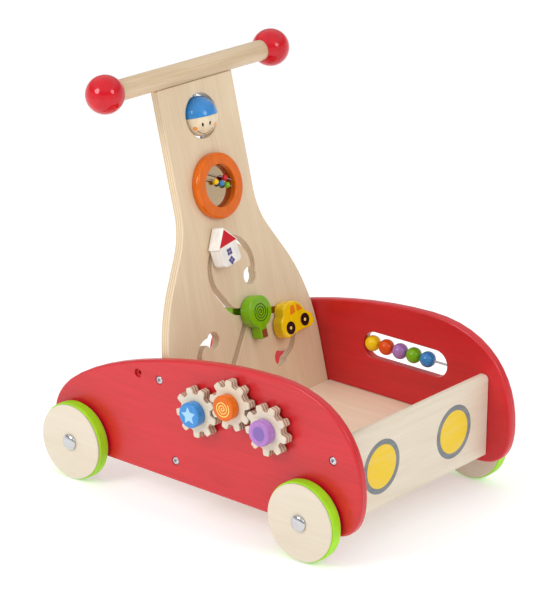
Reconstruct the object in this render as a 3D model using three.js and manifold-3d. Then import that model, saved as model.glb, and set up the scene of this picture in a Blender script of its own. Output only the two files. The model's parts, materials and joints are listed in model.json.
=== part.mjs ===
// A wooden push-along baby walker: two shaped side panels, a front panel and a tray floor make an open
// tray on four wheels, and a tall raked play board stands behind the tray and carries the push handle.
// Millimetres. +X is the walking direction, +Y the walker's left, +Z up. The origin is on the floor,
// under the middle of the walker. "Right" pieces are on the -Y side, "left" pieces on the +Y side.

import * as THREE from 'three';
import * as BufferGeometryUtils from 'three/addons/utils/BufferGeometryUtils.js';
import Module from 'manifold-3d';

const wasm = await Module();
wasm.setup();

// ---------------------------------------------------------------- driving dimensions

const OVERALL_HEIGHT = 500;
const FIT = 0.3;                 // gap left between two pieces that touch

const PLY = 12;                  // side panels, play board and gears
const PANEL_INNER_Y = 133;
const PANEL_OUTER_Y = PANEL_INNER_Y + PLY;
const PANEL_BOTTOM_Z = 33.7;
const PANEL_TOP_Z = 200;
const PANEL_NOSE_X = 236;
const PANEL_TAIL_X = -234;

const WHEEL_RADIUS = 47.5;
const REAR_AXLE_X = -188.5;
const FRONT_AXLE_X = 164.5;
const WHEEL_THICKNESS = 17.6;
const WHEEL_INNER_Y = 147.5;
const WHEEL_OUTER_Y = WHEEL_INNER_Y + WHEEL_THICKNESS;
const TYRE_WIDTH = 14;
const TYRE_INNER_LIP = 1.3;        // the wheel's lip beside the tyre, on the panel's side
const TYRE_SEAT_RADIUS = 44;
const WHEEL_RIM_RADIUS = 45.7;
const AXLE_RADIUS = 4;
const CAP_RADIUS = 10;
const CAP_HEIGHT = 5.1;

const FLOOR_TOP_Z = 78.2;
const FLOOR_THICKNESS = 9;
const FLOOR_GROOVE = 3;          // depth of the groove in each side panel that holds the tray floor

const FRONT_PANEL_X = 202.6;     // its front face
const FRONT_PANEL_THICKNESS = 15;
const FRONT_PANEL_BOTTOM_Z = 45.5;
const FRONT_PANEL_TOP_Z = 145.6;
const FRONT_PANEL_EDGE_RADIUS = 6;

const BOARD_RAKE = 14.25;        // degrees from upright, leaning back
const BOARD_FOOT_X = -37.4;      // where the board's front face meets the tray floor's top
const BOARD_HALF_WIDTH = 64.5;
const BOARD_TOP = 400.5;         // measured up the front face from the tray floor's top
const BOARD_BOTTOM = -33;

const HANDLE_BALL_RADIUS = 23;
const HANDLE_BALL_Y = 143.6;
const HANDLE_RADIUS = 12.5;
const HANDLE_Z = OVERALL_HEIGHT - HANDLE_BALL_RADIUS;
const HANDLE_DEPTH = -4;         // bar centre behind the board's front face

const HEAD_HEIGHT = 358.2;       // up the board
const HEAD_HOLE_RADIUS = 26.8;
const HEAD_RADIUS = 24;
const HEAD_PIN_RADIUS = 2.5;

const WINDOW_HEIGHT = 274;       // up the board
const WINDOW_RING_OUTER = 39.2;
const WINDOW_RING_INNER = 25.2;
const WINDOW_RING_DEPTH = 10;
const MIRROR_FRONT = 2.3;         // over the board's front face
const MIRROR_BACK = -3;
const WINDOW_BEAD_RADIUS = 3.7;
const WINDOW_BEAD_STEP = 9.8;
const WINDOW_WIRE_TILT = -23.4;  // degrees, falling towards the left panel
const LOWER_WIRE_OFFSET = 3.3;   // over the window's centre
const UPPER_WIRE_OFFSET = 11;
const BLUE_WINDOW_BEAD_PLACE = 3.6;
const RED_WINDOW_BEAD_PLACE = 8.1;

const SLOT_WIDTH = 8;
const SLOT_HOLE_RADIUS = 10.5;
const HOUSE_THICKNESS = 17.7;
const FIGURE_THICKNESS = 15;     // the tree and the car
const FIGURE_GAP = 1;            // figure and back button each stand this far off the board
const STEM_RADIUS = 3.4;
const BUTTON_RADIUS = 14.5;
const BUTTON_THICKNESS = 15;

const GEAR_TEETH = 9;
const GEAR_DISTANCE = 55.4;      // between neighbouring gear centres
const GEAR_TIP_RADIUS = 30;
const GEAR_ROOT_RADIUS = 22.3;
const GEAR_PRESSURE_ANGLE = 25;
const GEAR_BACKLASH = 1;
const GEAR_STANDOFF = 1.5;
const KNOB_RADIUS = 15;
const KNOB_TOP_Y = WHEEL_OUTER_Y + FIT + CAP_HEIGHT;

const BEAD_RADIUS = 10;
const BEAD_STEP = 20.7;
const FIRST_BEAD_X = 26.3;
const BEAD_SLOT = { rearX: 16.1, frontX: 141.3, z: 140, radius: 16.8 };
const BEAD_ROD_RADIUS = 1.25;
const BEAD_ROD_GRIP = 8;         // how far each end of the rod runs into the panel

const SCREW_HEAD_RADIUS = 4.7;
const SCREW_HEAD_HEIGHT = 2.6;
const SCREW_SHANK_RADIUS = 2;
const SCREW_LENGTH = 38;
// Places of the screws in each side panel: two into the play board's edge, one into the front panel's end.
const SCREWS = {
  board_upper_screw: [-62.8, 152.5],
  board_lower_screw: [-38.1, 58.8],
  front_screw: [FRONT_PANEL_X - FRONT_PANEL_THICKNESS / 2, 124.1],
};
const SPARE_SCREW_HOLE = [-95.7, 153];

const SIDES = { right: -1, left: 1 };

// ---------------------------------------------------------------- materials

function finish(color, roughness, metalness = 0) {
  return new THREE.MeshStandardMaterial({ color, roughness, metalness });
}
const BIRCH = finish(0xdcc39c, 0.5);
const CREAM_WOOD = finish(0xeee0c4, 0.5);
const RED_STAIN = finish(0xc8282c, 0.45);
const RED_GLOSS = finish(0xc4141c, 0.18);
const LIME_RUBBER = finish(0x9edb2c, 0.55);
const CHROME = finish(0xd8dade, 0.12, 1);
const STEEL = finish(0xa9acb0, 0.3, 1);
const MIRROR = finish(0xe4e6e8, 0.04, 1);
const BLUE = finish(0x3f86cf, 0.25);
const ORANGE = finish(0xe8741a, 0.25);
const PURPLE = finish(0xa070b4, 0.25);
const YELLOW = finish(0xf2c811, 0.25);
const GREEN = finish(0x7fb817, 0.25);
const WHITE = finish(0xf2efe6, 0.3);

// ---------------------------------------------------------------- solids

const Y_AXIS = new THREE.Vector3(0, 1, 0);

// A closed mesh with shared corners, no collapsed triangles and its faces pointing out.
function closed(geometry) {
  const bare = geometry.clone();
  for (const name of Object.keys(bare.attributes)) {
    if (name !== 'position') bare.deleteAttribute(name);
  }
  const merged = BufferGeometryUtils.mergeVertices(bare, 1e-4);
  const position = merged.attributes.position;
  const corner = (i) => new THREE.Vector3().fromBufferAttribute(position, i);
  const triangles = [];
  let volume = 0;
  for (let i = 0; i < merged.index.count; i += 3) {
    const [a, b, c] = [0, 1, 2].map((k) => merged.index.getX(i + k));
    if (a === b || b === c || c === a) continue;
    triangles.push([a, b, c]);
    volume += corner(a).dot(corner(b).cross(corner(c)));
  }
  const ordered = volume > 0 ? triangles : triangles.map(([a, b, c]) => [a, c, b]);
  const result = new THREE.BufferGeometry();
  result.setAttribute('position', position);
  result.setIndex(ordered.flat());
  return result;
}

function solid(geometry) {
  const mesh = closed(geometry);
  return new wasm.Manifold(new wasm.Mesh({
    numProp: 3,
    vertProperties: new Float32Array(mesh.attributes.position.array),
    triVerts: new Uint32Array(mesh.index.array),
  }));
}

function geometryOf(manifold) {
  const mesh = manifold.getMesh();
  const geometry = new THREE.BufferGeometry();
  geometry.setAttribute('position', new THREE.BufferAttribute(new Float32Array(mesh.vertProperties), 3));
  geometry.setIndex(new THREE.BufferAttribute(new Uint32Array(mesh.triVerts), 1));
  return geometry;
}

function cut(geometry, cutters) {
  let body = solid(geometry);
  for (const cutter of cutters) body = body.subtract(solid(cutter));
  return geometryOf(body);
}

// A round bar from one point to another.
function bar(from, to, radius, sides = 16) {
  const start = new THREE.Vector3(...from);
  const run = new THREE.Vector3(...to).sub(start);
  const geometry = new THREE.CylinderGeometry(radius, radius, run.length(), sides);
  geometry.translate(0, run.length() / 2, 0);
  geometry.applyQuaternion(new THREE.Quaternion().setFromUnitVectors(Y_AXIS, run.normalize()));
  return geometry.translate(start.x, start.y, start.z);
}

// A bar across the walker, parallel to Y.
function crossBar(x, z, fromY, toY, radius, sides) {
  return bar([x, fromY, z], [x, toY, z], radius, sides);
}

function block(min, max) {
  const size = max.map((value, i) => value - min[i]);
  return new THREE.BoxGeometry(...size).translate(...max.map((value, i) => (value + min[i]) / 2));
}

// An outline drawn in X and Z, as a plate between two Y values.
function plateXZ(shape, fromY, toY, curveSegments = 12) {
  const depth = Math.abs(toY - fromY);
  const geometry = new THREE.ExtrudeGeometry(shape, { depth, bevelEnabled: false, curveSegments });
  return geometry.rotateX(Math.PI / 2).translate(0, Math.max(fromY, toY), 0);
}

// An outline drawn in X and Y, as a plate between two Z values.
function plateXY(shape, fromZ, toZ, curveSegments = 12) {
  const depth = toZ - fromZ;
  const geometry = new THREE.ExtrudeGeometry(shape, { depth, bevelEnabled: false, curveSegments });
  return geometry.translate(0, 0, fromZ);
}

// A turned piece about the Y axis, from [radius, y] points. A profile off the axis closes on itself.
function turned(points, sides) {
  const profile = points.map(([radius, y]) => new THREE.Vector2(radius, y));
  if (points[0][0] > 0) profile.push(profile[0].clone());
  return new THREE.LatheGeometry(profile, sides);
}

function alongX(geometry) {
  return geometry.rotateZ(-Math.PI / 2);
}

function alongZ(geometry) {
  return geometry.rotateX(Math.PI / 2);
}

function radians(degrees) {
  return THREE.MathUtils.degToRad(degrees);
}

function polar(center, radius, degrees) {
  return [center[0] + radius * Math.cos(radians(degrees)), center[1] + radius * Math.sin(radians(degrees))];
}

// Points along a circular arc, both ends included.
function arc(center, radius, fromDegrees, toDegrees, step = 7.5) {
  const count = Math.max(1, Math.ceil(Math.abs(toDegrees - fromDegrees) / step));
  return Array.from({ length: count + 1 }, (_, i) =>
    polar(center, radius, fromDegrees + (toDegrees - fromDegrees) * i / count));
}

function outline(points) {
  return new THREE.Shape(points.map(([x, y]) => new THREE.Vector2(x, y)));
}

// A bored ball about the Y axis, with the profile running from one mouth of the bore to the other.
function boredBall(radius, boreRadius, sides, rows) {
  const mouth = THREE.MathUtils.radToDeg(Math.asin(boreRadius / radius));
  return turned(arc([0, 0], radius, mouth - 90, 90 - mouth, (180 - 2 * mouth) / rows), sides);
}

// ---------------------------------------------------------------- pieces and groups

const walker = new THREE.Group();

// Everything on the play board is drawn in the board's own frame: X across, Y up the board's front face
// from the tray floor, Z out of the front face.
const board = new THREE.Group();
board.position.set(BOARD_FOOT_X, 0, FLOOR_TOP_Z);
const rake = radians(BOARD_RAKE);
board.quaternion.setFromRotationMatrix(new THREE.Matrix4().makeBasis(
  new THREE.Vector3(0, 1, 0),
  new THREE.Vector3(-Math.sin(rake), 0, Math.cos(rake)),
  new THREE.Vector3(Math.cos(rake), 0, Math.sin(rake)),
));
walker.add(board);

function piece(name, geometry, material, parent = walker) {
  const mesh = new THREE.Mesh(closed(geometry), material);
  mesh.name = name;
  parent.add(mesh);
  return mesh;
}

// ---------------------------------------------------------------- side panels

function panelShape() {
  const shape = new THREE.Shape();
  shape.moveTo(190, PANEL_BOTTOM_Z);
  shape.bezierCurveTo(214, 34.5, PANEL_NOSE_X, 44, PANEL_NOSE_X, 88);
  shape.bezierCurveTo(PANEL_NOSE_X, 146, 200, PANEL_TOP_Z, 112, PANEL_TOP_Z);
  shape.bezierCurveTo(0, PANEL_TOP_Z, -148, 164.5, -206.5, 117.4);
  shape.bezierCurveTo(-220, 106, PANEL_TAIL_X, 90, PANEL_TAIL_X, 66);
  shape.bezierCurveTo(PANEL_TAIL_X, 46, -224, PANEL_BOTTOM_Z, -205, PANEL_BOTTOM_Z);
  return shape;
}

function beadSlotShape() {
  const { rearX, frontX, z, radius } = BEAD_SLOT;
  return outline([
    ...arc([frontX - radius, z], radius, -90, 90, 15),
    ...arc([rearX + radius, z], radius, 90, 270, 15),
  ]);
}

const REACH = 2;                 // how far a cutter runs past the face that it opens

function sidePanel(side) {
  const sign = SIDES[side];
  const y = (distance) => sign * distance;
  const through = [y(PANEL_INNER_Y - REACH), y(PANEL_OUTER_Y + REACH)];
  const cutters = [REAR_AXLE_X, FRONT_AXLE_X].map((x) =>
    crossBar(x, WHEEL_RADIUS, ...through, AXLE_RADIUS + FIT));
  for (const [x, z] of [...Object.values(SCREWS), SPARE_SCREW_HOLE]) {
    cutters.push(crossBar(x, z, ...through, SCREW_SHANK_RADIUS + FIT, 12));
    const seat = y(PANEL_OUTER_Y - SCREW_HEAD_HEIGHT - 2 * FIT);
    cutters.push(crossBar(x, z, seat, through[1], SCREW_HEAD_RADIUS + 2 * FIT, 20));
  }
  const groove = [y(PANEL_INNER_Y - REACH), y(PANEL_INNER_Y + FLOOR_GROOVE + FIT)].sort((a, b) => a - b);
  cutters.push(block(
    [BOARD_FOOT_X - FIT, groove[0], FLOOR_TOP_Z - FLOOR_THICKNESS - FIT],
    [FRONT_PANEL_X - FRONT_PANEL_THICKNESS, groove[1], FLOOR_TOP_Z + FIT],
  ));
  if (side === 'left') {
    cutters.push(plateXZ(beadSlotShape(), ...through));
    const middle = y(PANEL_INNER_Y + PLY / 2);
    const rear = [BEAD_SLOT.rearX - BEAD_ROD_GRIP - FIT, middle, BEAD_SLOT.z];
    const front = [BEAD_SLOT.frontX + BEAD_ROD_GRIP + FIT, middle, BEAD_SLOT.z];
    cutters.push(bar(rear, front, BEAD_ROD_RADIUS + FIT, 8));
  } else {
    for (const { x, z } of GEARS) cutters.push(crossBar(x, z, ...through, GEAR_PIN_RADIUS + FIT, 12));
  }
  return cut(plateXZ(panelShape(), y(PANEL_INNER_Y), y(PANEL_OUTER_Y)), cutters);
}

// A flush screw with a hexagon socket, its head in a seat in the side panel's outer face.
function sideScrew(side, x, z) {
  const sign = SIDES[side];
  const face = PANEL_OUTER_Y - FIT;
  const neck = face - SCREW_HEAD_HEIGHT;
  const profile = [
    [0, face - SCREW_LENGTH], [SCREW_SHANK_RADIUS * 0.4, face - SCREW_LENGTH],
    [SCREW_SHANK_RADIUS, face - SCREW_LENGTH + 4], [SCREW_SHANK_RADIUS, neck],
    [SCREW_HEAD_RADIUS, neck], [SCREW_HEAD_RADIUS, face - 0.6], [SCREW_HEAD_RADIUS - 0.8, face], [0, face],
  ];
  const socket = bar([0, neck + 0.8, 0], [0, face + REACH, 0], 2.3, 6);
  const screw = cut(turned(profile, 12), [socket]);
  if (sign < 0) screw.rotateX(Math.PI);
  return screw.translate(x, 0, z);
}

// ---------------------------------------------------------------- tray

function trayFloor() {
  const width = PANEL_INNER_Y + FLOOR_GROOVE;
  const bottom = FLOOR_TOP_Z - FLOOR_THICKNESS;
  const front = FRONT_PANEL_X - FRONT_PANEL_THICKNESS - FIT;
  const rear = BOARD_FOOT_X + FIT;
  return plateXZ(outline([
    [rear, FLOOR_TOP_Z], [rear + FLOOR_THICKNESS * Math.tan(rake), bottom],
    [front, bottom], [front, FLOOR_TOP_Z],
  ]), -width, width);
}

function frontPanel() {
  const back = FRONT_PANEL_X - FRONT_PANEL_THICKNESS;
  const radius = FRONT_PANEL_EDGE_RADIUS;
  const width = PANEL_INNER_Y - FIT;
  const profile = outline([
    [back, FRONT_PANEL_BOTTOM_Z], [FRONT_PANEL_X, FRONT_PANEL_BOTTOM_Z],
    ...arc([FRONT_PANEL_X - radius, FRONT_PANEL_TOP_Z - radius], radius, 0, 90, 15),
    ...arc([back + radius, FRONT_PANEL_TOP_Z - radius], radius, 90, 180, 15),
  ]);
  const [x, z] = SCREWS.front_screw;
  return cut(plateXZ(profile, -width, width), Object.values(SIDES).map((sign) => screwHole(sign, x, z)));
}

// The hole that a side panel's screw runs into, in the edge of the board or of the front panel.
function screwHole(sign, x, z) {
  const bottom = PANEL_OUTER_Y - SCREW_LENGTH - 3 * FIT;
  return crossBar(x, z, sign * bottom, sign * PANEL_OUTER_Y, SCREW_SHANK_RADIUS + FIT, 12);
}

// ---------------------------------------------------------------- wheels and axles

function wheelDisc() {
  const near = TYRE_INNER_LIP;
  const far = TYRE_INNER_LIP + TYRE_WIDTH;
  return turned([
    [AXLE_RADIUS + FIT, 0], [WHEEL_RIM_RADIUS, 0], [WHEEL_RIM_RADIUS, near], [TYRE_SEAT_RADIUS, near],
    [TYRE_SEAT_RADIUS, far], [WHEEL_RIM_RADIUS, far],
    [WHEEL_RIM_RADIUS, WHEEL_THICKNESS], [AXLE_RADIUS + FIT, WHEEL_THICKNESS],
  ], 30);
}

function tyre() {
  const seat = TYRE_SEAT_RADIUS + FIT;
  const near = TYRE_INNER_LIP + FIT;
  const far = TYRE_INNER_LIP + TYRE_WIDTH - FIT;
  return turned([
    [seat, near], [WHEEL_RADIUS, near],
    [WHEEL_RADIUS, far], [seat, far],
  ], 36);
}

// A push-on dome cap: it hides the axle's end and keeps the wheel on.
function axleCap() {
  const bore = AXLE_RADIUS + FIT;
  const depth = CAP_HEIGHT - 1.6;
  return turned([
    [0, depth], [bore, depth], [bore, 0], [CAP_RADIUS, 0], [CAP_RADIUS, 0.8],
    [CAP_RADIUS * 0.9, CAP_HEIGHT * 0.5], [CAP_RADIUS * 0.62, CAP_HEIGHT * 0.82],
    [CAP_RADIUS * 0.3, CAP_HEIGHT * 0.97], [0, CAP_HEIGHT],
  ], 12);
}

function addAxleSet(end, x) {
  const axleEnd = WHEEL_OUTER_Y + CAP_HEIGHT - 1.6;
  piece(`${end}_axle`, crossBar(x, WHEEL_RADIUS, -axleEnd, axleEnd, AXLE_RADIUS, 16), STEEL);
  for (const [side, sign] of Object.entries(SIDES)) {
    const place = (geometry, y) => {
      if (sign < 0) geometry.rotateX(Math.PI);
      return geometry.translate(x, sign * y, WHEEL_RADIUS);
    };
    piece(`${end}_wheel_${side}`, place(wheelDisc(), WHEEL_INNER_Y), CREAM_WOOD);
    piece(`${end}_tyre_${side}`, place(tyre(), WHEEL_INNER_Y), LIME_RUBBER);
    piece(`${end}_cap_${side}`, place(axleCap(), WHEEL_OUTER_Y + FIT), CHROME);
  }
}

// ---------------------------------------------------------------- gears on the right panel

const GEAR_PIN_RADIUS = 2.5;
const GEAR_BACK_Y = PANEL_OUTER_Y + GEAR_STANDOFF;
const GEAR_FACE_Y = GEAR_BACK_Y + PLY;
const KNOB_HOLLOW = { radius: 5.4, depth: 4 };

// The three gears, rear to front. Each one's phase is the direction of one tooth, in degrees from +X
// towards +Z, and follows from the gear before it so that tooth meets gap.
const GEARS = [
  { name: 'blue', material: BLUE, x: 5.4, z: 134.2, phase: 32.2 },
  { name: 'orange', material: ORANGE, direction: 23.4 },
  { name: 'purple', material: PURPLE, direction: -16.7 },
];
for (let i = 1; i < GEARS.length; i += 1) {
  const before = GEARS[i - 1];
  const gear = GEARS[i];
  [gear.x, gear.z] = polar([before.x, before.z], GEAR_DISTANCE, gear.direction);
  gear.phase = 180 + 2 * gear.direction - before.phase + 180 / GEAR_TEETH;
}

function involute(degrees) {
  return Math.tan(radians(degrees)) - radians(degrees);
}

// One gear's outline about its own centre: involute flanks, round root.
function gearShape(phase) {
  const pitchRadius = GEAR_DISTANCE / 2;
  const baseRadius = pitchRadius * Math.cos(radians(GEAR_PRESSURE_ANGLE));
  const pitchHalf = (Math.PI * pitchRadius / GEAR_TEETH - GEAR_BACKLASH) / 2 / pitchRadius;
  const flank = [0, 1, 2, 3].map((i) => {
    const radius = baseRadius + (GEAR_TIP_RADIUS - baseRadius) * i / 3;
    const angle = THREE.MathUtils.radToDeg(Math.acos(baseRadius / radius));
    return [radius, THREE.MathUtils.radToDeg(pitchHalf + involute(GEAR_PRESSURE_ANGLE) - involute(angle))];
  });
  const footHalf = flank[0][1];
  flank.unshift([GEAR_ROOT_RADIUS, footHalf + 3], [GEAR_ROOT_RADIUS + 1, footHalf + 0.5]);
  const points = [];
  for (let tooth = 0; tooth < GEAR_TEETH; tooth += 1) {
    const centre = phase + 360 * tooth / GEAR_TEETH;
    for (const [radius, half] of flank) points.push(polar([0, 0], radius, centre - half));
    for (const [radius, half] of [...flank].reverse()) points.push(polar([0, 0], radius, centre + half));
  }
  return outline(points);
}

function gearWheel(phase) {
  const hole = bar([0, -GEAR_FACE_Y - REACH, 0], [0, -GEAR_BACK_Y + REACH, 0], GEAR_PIN_RADIUS + FIT, 16);
  return cut(plateXZ(gearShape(phase), -GEAR_FACE_Y, -GEAR_BACK_Y), [hole]);
}

// A turned knob with a hollow back for the pin's cap.
function gearKnob() {
  const back = GEAR_FACE_Y + FIT;
  const { radius: hollow, depth } = KNOB_HOLLOW;
  return turned([
    [0, back + depth], [hollow, back + depth], [hollow, back], [KNOB_RADIUS, back],
    [KNOB_RADIUS, KNOB_TOP_Y - 3], [KNOB_RADIUS - 0.9, KNOB_TOP_Y - 1.1],
    [KNOB_RADIUS - 3, KNOB_TOP_Y], [0, KNOB_TOP_Y],
  ], 24);
}

// A stepped pin pressed into the panel: its collar spaces the gear, and a push-on cap keeps the gear on.
function gearPin() {
  const collar = PANEL_OUTER_Y + FIT;
  return turned([
    [0, PANEL_INNER_Y + FIT], [GEAR_PIN_RADIUS, PANEL_INNER_Y + FIT], [GEAR_PIN_RADIUS, collar],
    [6, collar], [6, GEAR_BACK_Y - FIT], [GEAR_PIN_RADIUS, GEAR_BACK_Y - FIT],
    [GEAR_PIN_RADIUS, GEAR_FACE_Y + FIT], [4.6, GEAR_FACE_Y + FIT],
    [4.6, GEAR_FACE_Y + 2.6], [0, GEAR_FACE_Y + 3.4],
  ], 12);
}

function addGears() {
  for (const { name, material, x, z, phase } of GEARS) {
    piece(`${name}_gear`, gearWheel(phase).translate(x, 0, z), BIRCH);
    piece(`${name}_knob`, gearKnob().rotateX(Math.PI).translate(x, 0, z), material);
    piece(`${name}_gear_pin`, gearPin().rotateX(Math.PI).translate(x, 0, z), STEEL);
  }
}

// ---------------------------------------------------------------- beads in the left panel

const BEADS = [['yellow', YELLOW], ['red', RED_GLOSS], ['purple', PURPLE], ['green', GREEN], ['blue', BLUE]];

function addBeads() {
  const y = PANEL_INNER_Y + PLY / 2;
  BEADS.forEach(([name, material], i) => {
    const bead = alongX(boredBall(BEAD_RADIUS, BEAD_ROD_RADIUS + FIT, 14, 7));
    piece(`${name}_bead`, bead.translate(FIRST_BEAD_X + i * BEAD_STEP, y, BEAD_SLOT.z), material);
  });
  const rear = [BEAD_SLOT.rearX - BEAD_ROD_GRIP, y, BEAD_SLOT.z];
  const front = [BEAD_SLOT.frontX + BEAD_ROD_GRIP, y, BEAD_SLOT.z];
  piece('bead_rod', bar(rear, front, BEAD_ROD_RADIUS, 8), STEEL);
}

// ---------------------------------------------------------------- play board

// Half of the board's outline, from its top corner down: a straight neck, a hollow flare, a straight
// slope, then a full curve out to the side panels.
const FLARE = { start: 256, turn: 33, hollowRadius: 90, slope: 35.6, fullRadius: 215 };

function boardHalfOutline() {
  const { start, turn, hollowRadius, slope, fullRadius } = FLARE;
  const hollow = arc([BOARD_HALF_WIDTH + hollowRadius, start], hollowRadius, 180, 180 + turn, 5.5);
  const slopeTop = hollow[hollow.length - 1];
  const slopeEnd = polar(slopeTop, slope, turn - 90);
  const center = polar(slopeEnd, fullRadius, 180 + turn);
  const width = PANEL_INNER_Y - FIT;
  const full = arc(center, width - center[0], turn, 0, 4);
  return [[BOARD_HALF_WIDTH, BOARD_TOP + 3], ...hollow, ...full, [width, BOARD_BOTTOM]];
}

// Centre lines of the play slots, in the board's frame. The crook runs from its end hole over the top,
// down the left side to the fork, and on to the right-hand hook. The trunk runs from the fork down to
// the left and round into the left-hand hook.
const CROOK = { center: [1.5, 172], radius: 37.5, leaveAngle: 215, bendRadius: 28 };
const CROOK_CURL_RADIUS = 15.5;
const RIGHT_HOOK = { center: [58, 78.5], radius: 29, startAngle: 77.6, endAngle: -92 };
const FORK = [17, 117.2];
const LEFT_LOOP = { center: [-50.3, 80], radius: 29.7, startAngle: -39.4 };
const LEFT_HOOK = { radius: 21, endAngle: 68 };

// The point where two straight lines meet, each given by a point on it and a heading in degrees.
function meet(a, headingA, b, headingB) {
  const [ax, ay] = polar([0, 0], 1, headingA);
  const [bx, by] = polar([0, 0], 1, headingB);
  const along = ((b[0] - a[0]) * by - (b[1] - a[1]) * bx) / (ax * by - ay * bx);
  return [a[0] + along * ax, a[1] + along * ay];
}

function crookLine() {
  const { center, radius, leaveAngle, bendRadius } = CROOK;
  const curlCenter = [center[0] + radius - CROOK_CURL_RADIUS, center[1]];
  const [down, across] = [leaveAngle - 270, RIGHT_HOOK.startAngle - 90];
  const corner = meet(polar(center, radius, leaveAngle), down, FORK, across);
  const bendStart = polar(corner, -bendRadius * Math.tan(radians((across - down) / 2)), down);
  const bendCenter = polar(bendStart, bendRadius, down + 90);
  return [
    ...arc(curlCenter, CROOK_CURL_RADIUS, -64.4, 0, 12),
    ...arc(center, radius, 0, leaveAngle).slice(1),
    ...arc(bendCenter, bendRadius, down - 90, across - 90),
    ...arc(RIGHT_HOOK.center, RIGHT_HOOK.radius, RIGHT_HOOK.startAngle, RIGHT_HOOK.endAngle, 9),
  ];
}

function trunkLine() {
  const { center, radius, startAngle } = LEFT_LOOP;
  const hookCenter = [center[0] - radius + LEFT_HOOK.radius, center[1]];
  return [
    FORK,
    ...arc(center, radius, startAngle, -180, 9),
    ...arc(hookCenter, LEFT_HOOK.radius, 180, LEFT_HOOK.endAngle, 12).slice(1),
  ];
}

// The outline of a slot of constant width about a centre line, square across its two ends.
function slotShape(line) {
  const sides = [[], []];
  line.forEach((point, i) => {
    const before = line[Math.max(0, i - 1)];
    const after = line[Math.min(line.length - 1, i + 1)];
    const length = Math.hypot(after[0] - before[0], after[1] - before[1]);
    const across = [-(after[1] - before[1]) / length, (after[0] - before[0]) / length];
    [1, -1].forEach((sign, k) => sides[k].push([
      point[0] + sign * across[0] * SLOT_WIDTH / 2,
      point[1] + sign * across[1] * SLOT_WIDTH / 2,
    ]));
  });
  return outline([...sides[0], ...sides[1].reverse()]);
}

const handleHeight = (HANDLE_Z - FLOOR_TOP_Z - HANDLE_DEPTH * Math.sin(rake)) / Math.cos(rake);

// A round rod on the handle bar's centre line, this far to each side of the middle.
function handleRod(halfLength, radius, sides) {
  const end = (sign) => [sign * halfLength, handleHeight, HANDLE_DEPTH];
  return bar(end(-1), end(1), radius, sides);
}

function uprightBoard() {
  const half = boardHalfOutline();
  const mirrored = half.map(([x, y]) => [-x, y]).reverse();
  const past = [-PLY - REACH, REACH];
  const crook = crookLine();
  const trunk = trunkLine();
  const cutters = [
    plateXY(slotShape(crook), ...past),
    plateXY(slotShape(trunk), ...past),
    ...[crook[0], crook[crook.length - 1], trunk[trunk.length - 1]].map(([x, y]) =>
      bar([x, y, past[0]], [x, y, past[1]], SLOT_HOLE_RADIUS, 32)),
    bar([FORK[0], FORK[1], past[0]], [FORK[0], FORK[1], past[1]], SLOT_WIDTH / 2, 24),
    bar([0, HEAD_HEIGHT, past[0]], [0, HEAD_HEIGHT, past[1]], HEAD_HOLE_RADIUS, 48),
    bar([0, HEAD_HEIGHT - HEAD_HOLE_RADIUS - 10 - FIT, -PLY / 2], [0, BOARD_TOP + 10, -PLY / 2],
      HEAD_PIN_RADIUS + FIT, 12),
    bar([0, WINDOW_HEIGHT, MIRROR_BACK - FIT], [0, WINDOW_HEIGHT, past[1]], WINDOW_RING_INNER, 40),
    handleRod(BOARD_HALF_WIDTH + REACH, HANDLE_RADIUS + FIT, 48),
  ];
  const blank = cut(plateXY(outline([...half, ...mirrored]), -PLY, 0), cutters);
  const toPart = new THREE.Matrix4().compose(board.position, board.quaternion, new THREE.Vector3(1, 1, 1));
  const toBoard = toPart.clone().invert();
  const holes = [];
  for (const place of [SCREWS.board_upper_screw, SCREWS.board_lower_screw]) {
    for (const sign of Object.values(SIDES)) holes.push(screwHole(sign, ...place).applyMatrix4(toBoard));
  }
  return cut(blank, holes);
}

// ---------------------------------------------------------------- handle and head

function handleBar() {
  const end = HANDLE_BALL_Y - 4;
  const pinHole = bar([0, handleHeight - HANDLE_RADIUS - 5, -PLY / 2], [0, PIN_TOP + FIT, -PLY / 2],
    HEAD_PIN_RADIUS + FIT, 12);
  return cut(handleRod(end, HANDLE_RADIUS, 32), [pinHole]);
}

// A ball with a blind hole for the bar, about the Y axis, the hole opening towards -Y.
function handleBall() {
  const bore = HANDLE_RADIUS + FIT;
  const mouth = THREE.MathUtils.radToDeg(Math.asin(bore / HANDLE_BALL_RADIUS));
  const depth = -4 + FIT;
  return turned([[0, depth], [bore, depth],
    ...arc([0, 0], HANDLE_BALL_RADIUS, mouth - 90, 90, 14)], 22);
}

const PIN_TOP = handleHeight - 3;

function addHandleAndHead() {
  piece('handle_bar', handleBar(), BIRCH, board);
  for (const [side, sign] of Object.entries(SIDES)) {
    const ball = handleBall().rotateZ(-sign * Math.PI / 2);
    ball.translate(sign * HANDLE_BALL_Y, handleHeight, HANDLE_DEPTH);
    piece(`handle_ball_${side}`, ball, RED_GLOSS, board);
  }
  const head = boredBall(HEAD_RADIUS, HEAD_PIN_RADIUS + FIT, 22, 11);
  piece('head_ball', head.translate(0, HEAD_HEIGHT, -PLY / 2), BLUE, board);
  const pinFoot = HEAD_HEIGHT - HEAD_HOLE_RADIUS - 10;
  piece('head_pin', bar([0, pinFoot, -PLY / 2], [0, PIN_TOP, -PLY / 2], HEAD_PIN_RADIUS, 12), STEEL, board);
}

// ---------------------------------------------------------------- mirror window

const WIRE_RADIUS = 0.6;
const WIRE_DEPTH = MIRROR_FRONT + WINDOW_BEAD_RADIUS + FIT;
const WIRE_GRIP = 5;             // how far each end of a wire runs into the ring

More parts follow.
